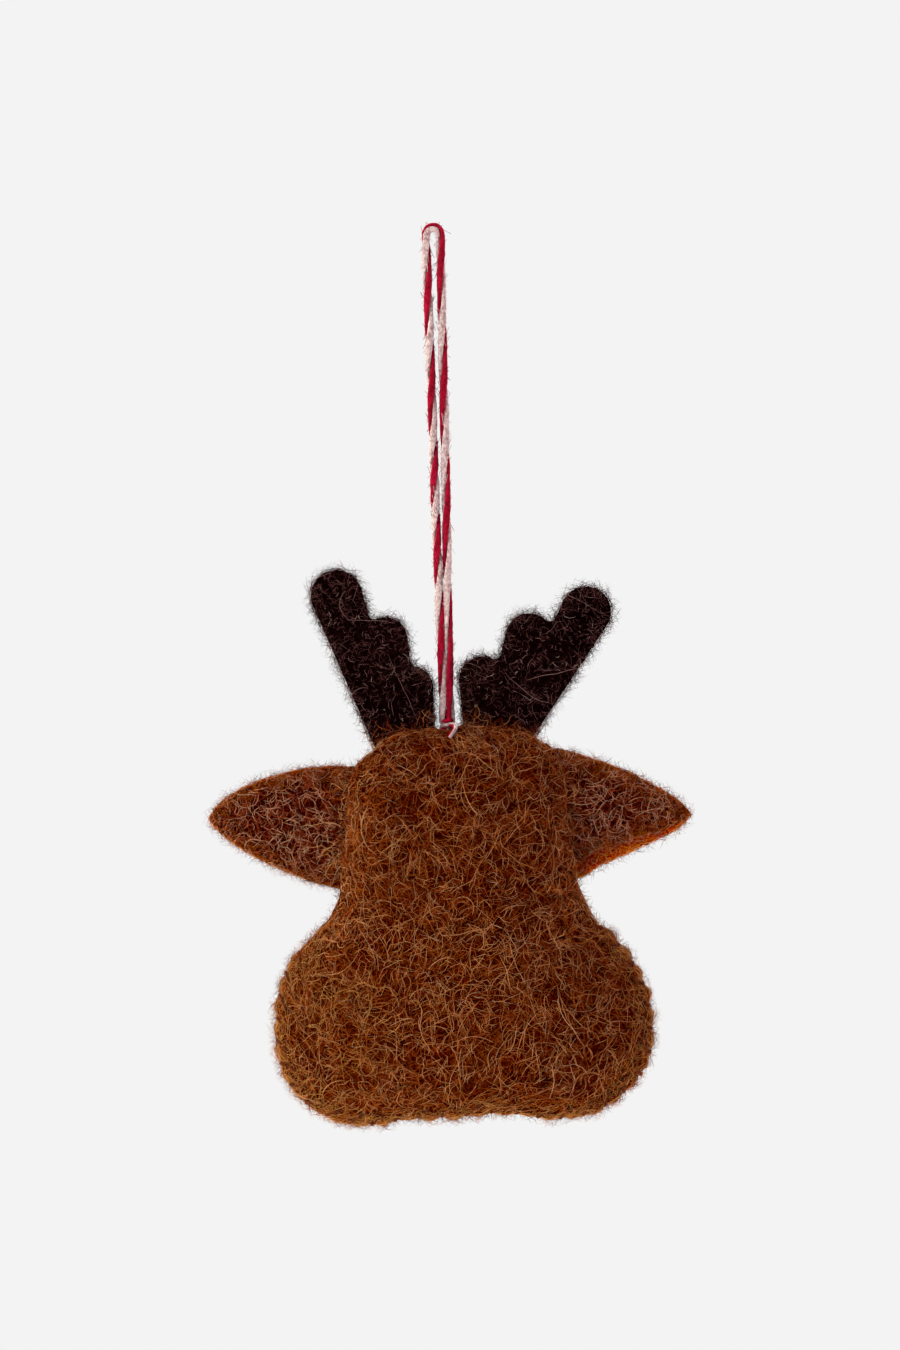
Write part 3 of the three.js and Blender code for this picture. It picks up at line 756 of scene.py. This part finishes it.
brown_felt = felt_finish("brown_felt", (36, 0, 0), (98, 18, 1), (128, 54, 9))
brown_tones = wool_tones("brown_wool", [
    ("_deep", (46, 1, 0), 0.36),
    ("_chestnut", (116, 31, 4), 0.22),
    ("_golden", (170, 88, 31), 0.27),
    ("_tan", (206, 148, 98), 0.14),
    ("_pale", (208, 168, 134), 0.01),
    # a painted highlight, given only by the painted light masks along the edges
    ("_lit_edge", (204, 146, 78), 0.0),
])

rim_aim = unit(np.roll(rim_fine, -1, 0) - np.roll(rim_fine, 1, 0))


def from_roots(spots):
    """How far each spot is from where an ear, an antler or the cord is sewn in, in millimetres."""
    return np.min([from_root(spots, root) for root in root_lines.values()], axis=0)


def along_edge(spots, ups):
    """Fibres lie along the free edge near it, as the felt was rolled and trimmed there."""
    at, gap = near_rim(spots)
    near = 2.2 * (1 - eased(gap, 1.0, 6.0)) * eased(from_roots(spots), 1, 6)
    return np.column_stack([rim_aim[at, 0], np.zeros(len(at)), rim_aim[at, 1]]) * near[:, None]


def head_painted_light(spots, ups):
    """Painted light: fibres along the free edge take the last, paler tone, where light catches the rim, and so
    does a patch on the left lobe of the back, as painted light from the left.
    """
    rim = 0.65 * (1 - eased(near_rim(spots)[1], 0.8, 5.0)) * eased(from_roots(spots), 1, 6)
    # painted light from the left, on the lower left lobe of the back
    drift_and_lit_patch = 0.14 * np.exp(-(((spots[:, 0] - 22) / 13) ** 2) - ((spots[:, 2] + 156) / 17) ** 2)
    return np.maximum(rim, drift_and_lit_patch * (ups[:, 1] > 0))


def off_pits(spots, ups):
    """The deepest needle pits stay bare, so that they show as dark dots: real pits, with the painted gap shade of
    the bare felt in them.
    """
    deepest = needle[pit_depth > 0.95]
    gap = np.min([np.hypot(spots[:, 0] - x, spots[:, 2] - z) for x, z in deepest], axis=0)
    return 0.04 + 0.96 * eased(gap, 0.5, 1.2)


def wool_flow(spots, ups):
    """Long fibres lie in drifts, mostly up and down, as the wool was carded."""
    x, z = spots[:, 0], spots[:, 2]
    lean = 0.9 * np.sin(x / 8.5 + 1.1 * np.sin(z / 11)) + 0.7 * np.sin(z / 9.5 + x / 17)
    return np.column_stack([np.sin(lean), np.zeros(len(x)), np.cos(lean)]) * 1.6 + along_edge(spots, ups)


def head_fuzz(spots, ups):
    return 1 + 8 * (1 - eased(near_rim(spots)[1], 0.5, 3.0))


head_skin = {}
for side, name, node, nap_count, haze_count, drift_count in (
    (1, "back", "back_panel", 9800, 5000, 6500), (-1, "front", "front_panel", 8000, 4300, 3000)
):
    sheet = felt_sheet("head_" + name, side)
    skin = head_skin[side] = skin_of(sheet)
    apply_modifier(sheet, "SOLIDIFY", thickness=felt_core * MM, offset=-1)
    cover(sheet, brown_felt)
    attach(sheet, "head")
    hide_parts(node)
    nap = lay_fibres(
        f"head_{name}_nap", skin, nap_count, 7 + side, brown_tones, length=(1.5, 4.6), thickness=(0.08, 0.15),
        height=(0.0, 0.4), where=off_pits, comb=along_edge, painted_light=head_painted_light, crimp=0.38, joints=4,
    )
    haze = lay_fibres(
        f"head_{name}_haze", skin, haze_count, 17 + side, brown_tones, length=(1.2, 4.5),
        thickness=(0.035, 0.075), height=(0.1, 0.45), rise=(0.1, 1.9), where=head_fuzz, joints=4,
    )
    drifts = lay_fibres(
        f"head_{name}_drifts", skin, drift_count, 27 + side, brown_tones, length=(3, 8), thickness=(0.06, 0.11),
        height=(0.1, 0.5), comb=wool_flow, painted_light=head_painted_light, crimp=0.35,
    )
    hairs = lay_fibres(
        f"head_{name}_hairs", skin, 60, 37 + side, brown_tones[3:5], length=(5, 13), thickness=(0.09, 0.14),
        height=(0.4, 0.7), comb=wool_flow, crimp=0.25, joints=10,
    )
    for layer in (nap, haze, drifts, hairs):
        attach(layer, "head")
bpy.data.objects.remove(pillow)

# Stuffing: loose white fibre, pushed in through the last gap of the seam until the felt stands full.
# It is a lumpy wad that fills the hollow between the two sheets.


def felt_copy(name, node, voxel, rounds):
    """A solid's copy, merged and remeshed to an even net with its cut edges eased."""
    piece = bpy.data.objects.new(name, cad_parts[node].data.copy())
    scene.collection.objects.link(piece)
    piece.data.name = name
    piece.data.materials.clear()
    edit_all(piece, bpy.ops.mesh.remove_doubles, threshold=1e-6)
    apply_modifier(piece, "REMESH", mode="VOXEL", voxel_size=voxel * MM)
    apply_modifier(piece, "SMOOTH", factor=0.5, iterations=rounds)
    return piece


wad = felt_copy("stuffing_wad", "stuffing", 1.6, 2)
lumpy(wad, "stuffing_tufts", 5, 1.6, middle=0.85)
cover(wad, felt_finish("white_wadding", (205, 200, 190), (238, 234, 226), (250, 248, 244)))
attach(wad, "head")
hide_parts("stuffing")

# Knot: the cord's own end is wound once round both legs where they meet the crown, crimson over cream, and a
# short tail is left on the back. Both ends go down between the felt sheets and are sewn in there.
wrap_half = (0.98, 0.95)
wrap_height = -98.25
wrap_slope = 0.0013  # millimetres down for each degree
wrap_reach = 230  # degrees to each side of its middle


def face_of(side, flat):
    """How far the sheet's outer face stands off the middle plane at a spot, in millimetres."""
    outside = Vector((flat[0] * MM, side * 0.05, flat[1] * MM))
    hit = head_skin[side]["tree"].ray_cast(outside, Vector((0, -side, 0)))
    return hit[0].y / MM if hit[0] else side * felt


wrap_points = []
for degrees in range(-wrap_reach, wrap_reach + 1, 20):
    angle = math.radians(degrees - 90)
    tuck = 0.55 + 0.45 * float(eased(abs(degrees), wrap_reach, 150))
    x, y = wrap_half[0] * tuck * math.cos(angle), -wrap_half[1] * tuck * math.sin(angle)
    wrap_points.append((x, y, wrap_height - wrap_slope * degrees))
wrap_line = smooth_line(wrap_points, 0.3 * MM)
knot_yarns = []
for slot, lift in ((0, 0.45), (1, -0.42)):
    ply = wrap_line + (0, 0, lift * MM)
    knot_yarns += [(wound(ply, 0.24 * MM, 3 * MM, k * 2 * np.pi / 5), 0.21 * MM, slot) for k in range(5)]
inner_line = smooth_line(
    [(0.5, 0, -98.6), (0.9, 0.3, -99.6), (0, 0.8, -100.4), (-0.9, 0.2, -99.7), (-0.4, -0.5, -98.8)], cord_step
)
knot_yarns += plied(inner_line, 0.8 + 2 * np.pi * run_of(inner_line) / cord_lay, 0.8)
cord_knot = tubes("twine_knot", knot_yarns, 6, [crimson, cream])
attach(cord_knot, "knot")
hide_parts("cord_knot")

tail_points = [(-0.5, 0.9, -98.6), (-1.35, 2.0, -98.7)]
for x, z in ((-1.6, -99.2), (-1.25, -99.9), (-0.75, -100.6), (-0.35, -101.2)):
    tail_points.append((x, max(face_of(1, (x, z)), 2.6) + 0.45, z))
tail_line = smooth_line(tail_points, 0.25 * MM)
for side, node in ((1, "cord_end_left"), (-1, "cord_end_right")):
    low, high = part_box(node)
    end_x = (low.x + high.x) / 2 / MM
    heights = (high.z, (low.z + high.z) / 2, low.z)
    end_points = [(end_x * spread, 0, z / MM) for spread, z in zip((1, 1.05, 1.2), heights)]
    end_line = smooth_line(end_points, cord_step)
    end_yarns = plied(end_line, 0.4 + 2 * np.pi * run_of(end_line) / cord_lay)
    if side < 0:
        end_yarns += plied(tail_line, np.full(len(tail_line), math.radians(165)), 0.5)
    sewn_end = tubes("sewn_" + node, end_yarns, 5, [crimson, cream])
    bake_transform(sewn_end)
    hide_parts(node)

# Seam thread: brown two-ply sewing thread, overcast round the muzzle from below one ear to below the other.
# It goes through both sheets at each needle hole and slants over the edge to the next.
thread_rise = 0.05
thread_points = []
for k, hole in enumerate(needle):
    front, back = face_of(-1, hole) - thread_rise, face_of(1, hole) + thread_rise
    if k > 0:
        thread_points.append((hole[0], back, hole[1]))
    thread_points.append((hole[0], 0, hole[1]))
    if k == len(needle) - 1:
        break
    thread_points.append((hole[0], front, hole[1]))
    between = (stitch_spots[k] + stitch_spots[k + 1]) / 2
    edge = rim_at(between) + (head_x, head_z) + inward(between) * np.interp(between, *edge_draw.T)
    for side, reach_to in ((-1, hole), (1, needle[k + 1])):
        slope = (edge + inward(between) * 0.5 + reach_to) / 2
        over = (slope[0], face_of(side, slope) + side * thread_rise, slope[1])
        lip = (edge[0], side * felt, edge[1])
        thread_points += [over, lip] if side < 0 else [lip, over]
thread_line = smooth_line(thread_points, 0.3 * MM)
brown_thread = yarn_finish("brown_thread", tint(60, 20, 5), tint(108, 52, 18), 2600)
seam_thread = tubes(
    "overcast_thread",
    [(wound(thread_line, 0.17 * MM, 1.6 * MM, start), 0.22 * MM, 0) for start in (0, math.pi)],
    6, [brown_thread],
)
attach(seam_thread, "head")
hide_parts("seam_thread")

# Ears: two leaf-shaped layers of felt each, red-brown behind and amber in front, with a tongue at the root
# that is sewn in between the head's sheets. They are cut by hand and cup a little.
ear_felt = felt_finish("ear_felt", (36, 0, 0), (88, 12, 4), (110, 35, 16))
# Amber felt and its wool: the layer's own amber, painted brighter than it is to stand for light shining through
# the thin felt.
amber_felt = felt_finish("amber_felt", (176, 14, 0), (244, 72, 0), (255, 140, 18))
ear_tones = wool_tones("ear_wool", [
    ("_deep", (48, 0, 0), 0.42),
    ("_red_brown", (114, 20, 4), 0.21),
    ("_rosewood", (172, 80, 42), 0.22),
    ("_ash", (218, 166, 136), 0.12),
    ("_pale", (216, 180, 150), 0.03),
    # a painted highlight, given only near the ear's outline
    ("_lit_edge", (180, 98, 18), 0.0),
])
# The amber fibres are painted brighter than the wool is too, for light shining through the layer.
amber_tones = wool_tones("amber_wool", [
    ("_deep", (198, 24, 0), 0.36),
    ("", (252, 94, 3), 0.38),
    ("_golden", (254, 168, 34), 0.22),
    ("_pale", (252, 208, 120), 0.04),
    # a painted highlight, given only near the ear's outline
    ("_lit_edge", (250, 172, 44), 0.0),
])
cup, droop = 1.3, 1.6  # how far an ear's sides curl back at half its width, and its tip bends forward
half_width = 12


def edge_finder(skin):
    """A function that gives each spot's distance from a cut piece's outline, in millimetres."""
    wall = skin["tri"].mean(1)[np.abs(skin["normal"][:, 1]) < 0.4] / MM
    near_wall = flat_finder(wall[:, [0, 2]])
    return lambda spots: near_wall(spots)[1]


for name, tip, bared in (("left", (48.1, -116.1), 0.0), ("right", (-48.1, -118.0), 1.7)):
    root_line = root_lines[f"{name}_ear"]
    root = (np.array(root_line[0]) + np.array(root_line[1])) / 2
    out = unit(np.array(tip) - root)
    square = np.array([-out[1], out[0]])
    length = np.linalg.norm(np.array(tip) - root)
    for layer, side, finish, tones, count in (
        ("back", 1, ear_felt, ear_tones, 3900), ("front", -1, amber_felt, amber_tones, 2700)
    ):
        node = f"{name}_ear_{layer}"
        piece = felt_copy(node + "_felt", node, 0.5, 3)
        rows = points_of(piece) / MM
        along = np.clip((rows[:, [0, 2]] - root) @ out / length, 0, 1)
        aside = (rows[:, [0, 2]] - root) @ square
        inset = 0.03 * aside  # the amber layer is a little narrower
        if layer == "back":  # the cut edge stands back from the amber one below it
            inset = bared * eased(aside, 1, 11) * eased(along, 0.02, 0.25)
            inset *= 1 - eased(along, 0.5, 0.95)
        rows[:, [0, 2]] -= np.outer(inset, square)
        rows[:, 1] += cup * (aside / half_width) ** 2 * eased(along, 0, 0.4) - droop * along**2
        set_points(piece, rows * MM)
        lumpy(piece, "felt_creases", 7, 0.7, direction="Y")
        skin = skin_of(piece)
        cover(piece, finish)
        from_outline = edge_finder(skin)

        def shown(spots, ups):
            """Fibres stand on the layer's own face and cut edge, and on the other face beside that edge."""
            clear = (spots[:, [0, 2]] - root) @ out > -1.5
            return clear * ((side * ups[:, 1] > -0.35) | (from_outline(spots) < 3.5))

        # Painted highlight: fibres near the outline take the lit-edge tone, as light catches the cut edge.
        def ear_painted_edge_light(spots, ups):
            low, high = (0.5, 2.4) if side > 0 else (0.1, 0.9)
            return 0.85 * (1 - eased(from_outline(spots), low, high))

        def ear_fuzz(spots, ups):
            own = side * ups[:, 1] > -0.35
            return own * shown(spots, ups) * (1 + 10 * (1 - eased(from_outline(spots), 0.4, 2.0)))

        def across_root(spots, ups):
            return np.tile(np.array([out[0], 0, out[1]]) * 1.5, (len(spots), 1))

        def beside_root(spots, ups):
            away = (spots[:, [0, 2]] - root) @ out
            return (away > -3.5) * (away < 1.5) * (side * ups[:, 1] > 0.2)

        nap = lay_fibres(
            node + "_nap", skin, count, 40 + side, tones,
            length=(1.5, 4.5), thickness=(0.08, 0.15), height=(0.0, 0.4), where=shown, painted_light=ear_painted_edge_light,
            crimp=0.4, joints=4,
        )
        haze = lay_fibres(
            node + "_haze", skin, 1300, 50 + side, ear_tones,
            length=(1.2, 4), thickness=(0.03, 0.065), height=(0.1, 0.4), rise=(0.2, 2.1),
            where=ear_fuzz, joints=4,
        )
        hairs = lay_fibres(
            node + "_hairs", skin, 14, 53 + side, ear_tones[3:5],
            length=(4, 8), thickness=(0.1, 0.15), height=(0.3, 0.6), where=shown, crimp=0.25, joints=9,
        )
        strays = lay_fibres(
            node + "_root_strays", joined_skin((head_skin[side], skin), root_line, 14), 760, 56 + side,
            brown_tones, length=(2.5, 7), thickness=(0.11, 0.22), height=(0.1, 0.6),
            where=beside_root, comb=across_root,
        )
        parts = [piece, nap, haze, hairs, strays]
        if layer == "back":
            back_skin, beside_back = skin, from_outline
        else:
            parts.append(lay_fibres(
                f"{name}_ear_edge_strays", joined_skin((back_skin, skin), root_line, 60), 420, 59, ear_tones,
                length=(1.5, 4), thickness=(0.07, 0.13), height=(0.2, 0.6), crimp=0.4, joints=4,
                where=lambda spots, ups: (ups[:, 1] > 0.3) * (beside_back(spots) < 1.8),
            ))
        for part in parts:
            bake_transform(part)
        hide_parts(node)
        low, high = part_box(node)

# Antlers: one thick layer of dark brown felt each, cut by hand to three round tines, with a foot that is
# sewn into the crown's seam. A few long pale hairs have been felted in with the dark wool.
antler_felt = felt_finish("antler_felt", (4, 0, 0), (20, 6, 6), (34, 15, 14))
antler_tones = wool_tones("antler_wool", [
    ("_black", (6, 0, 0), 0.40),
    ("_dark", (48, 20, 21), 0.27),
    ("_brown", (108, 72, 72), 0.265),
    ("_grey", (150, 120, 120), 0.06),
    ("_pale", (196, 182, 176), 0.005),
])
for name in ("left", "right"):
    node = f"{name}_antler"
    piece = felt_copy(node + "_felt", node, 0.5, 3)
    lumpy(piece, "felt_creases", 7, 0.6, direction="Y")
    apply_modifier(piece, "DISPLACE", strength=-0.25 * MM, mid_level=0)
    skin = skin_of(piece)
    cover(piece, antler_felt)
    from_outline = edge_finder(skin)
    foot = root_lines[node]

    def over_foot(spots, ups):
        return from_root(spots, foot) < 2

    def upward(spots, ups):
        return np.tile((0, 0, 1.2), (len(spots), 1))

    def above(spots, ups):
        return spots[:, 2] > -101.5

    def antler_fuzz(spots, ups):
        return above(spots, ups) * (1 + 6 * (1 - eased(from_outline(spots), 0.4, 2.0)))

    nap = lay_fibres(
        node + "_nap", skin, 3400, 61 + len(name), antler_tones,
        length=(0.5, 1.5), thickness=(0.06, 0.11), height=(0.0, 0.3), where=above, joints=4,
    )
    haze = lay_fibres(
        node + "_haze", skin, 2800, 71 + len(name), antler_tones,
        length=(1.2, 4), thickness=(0.03, 0.07), height=(0.1, 0.3), rise=(0.2, 2.2),
        where=antler_fuzz, joints=4,
    )
    hairs = lay_fibres(
        node + "_hairs", skin, 12, 81 + len(name), antler_tones[3:],
        length=(6, 15), thickness=(0.07, 0.11), height=(0.3, 0.5), where=above, crimp=0.28, joints=11,
    )
    strays = lay_fibres(
        node + "_root_strays", joined_skin((head_skin[1], head_skin[-1], skin), foot, 12), 480, 86 + len(name),
        brown_tones, length=(1.2, 3.6), thickness=(0.06, 0.11), height=(0.1, 0.6), where=over_foot, comb=upward,
    )
    for part in (piece, nap, haze, hairs, strays):
        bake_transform(part)
    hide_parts(node)
    low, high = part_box(node)

# Nose: a small oval of near-black felt, gathered over a pinch of stuffing.
# It is sewn to the front sheet round its edge, low on the muzzle.
nose = felt_copy("nose_pad", "nose", 0.5, 4)
nose_skin = skin_of(nose)
cover(nose, felt_finish("nose_felt", (10, 5, 5), (30, 19, 17), (44, 32, 30)))
nose_nap = lay_fibres(
    "nose_nap", nose_skin, 1500, 91, antler_tones[:4],
    length=(1.2, 4), thickness=(0.07, 0.13), height=(0.0, 0.25), rise=(0, 0.6), joints=4,
    where=lambda spots, ups: ups[:, 1] < 0.2,
)
for part in (nose, nose_nap):
    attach(part, "head")
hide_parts("nose")

# Eyes: two polished black beads, each drawn into the felt by a stitch through its bore.
# The bore is sunk a little into both ends of the bead.
bore_share = 0.97
bead_black, bead_tree, bead_shader = new_material("polished_bead", {})
bead_place = new_node(bead_tree, "ShaderNodeTexCoord").outputs["Object"]
bead_cloud = new_node(bead_tree, "ShaderNodeTexNoise", {"Vector": bead_place, "Scale": 900}).outputs["Fac"]
bead_tone = new_node(bead_tree, "ShaderNodeValToRGB", {"Fac": bead_cloud})
for stop, colour in zip(bead_tone.color_ramp.elements, (tint(8, 6, 6), tint(26, 21, 20))):
    stop.color = colour
bead_polish = new_node(bead_tree, "ShaderNodeMapRange", {"Value": bead_cloud, "To Min": 0.08, "To Max": 0.22})
fill_sockets(bead_tree, bead_shader, {
    "Base Color": bead_tone.outputs["Color"], "Roughness": bead_polish.outputs["Result"],
})
for name in ("left", "right"):
    node = f"{name}_eye"
    low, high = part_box(node)
    middle = (low + high) / 2
    radius = (high.x - low.x) / 2
    bpy.ops.object.select_all(action="DESELECT")
    bpy.ops.mesh.primitive_uv_sphere_add(segments=48, ring_count=24, radius=radius, location=middle)
    bead = bpy.context.object
    bead.name = bead.data.name = f"{name}_bead"
    bpy.ops.object.transform_apply()
    edit_all(bead, bpy.ops.mesh.select_all, action="DESELECT")
    for face in bead.data.polygons:
        face.select = abs((face.center - middle).normalized().z) > bore_share
    bpy.ops.object.mode_set(mode="EDIT")
    bpy.ops.mesh.inset(thickness=0.1 * MM)
    bpy.ops.transform.shrink_fatten(value=-0.35 * MM)
    bpy.ops.object.mode_set(mode="OBJECT")
    apply_modifier(bead, "SUBSURF", levels=1, render_levels=1)
    cover(bead, bead_black)
    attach(bead, "head")
    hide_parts(node)
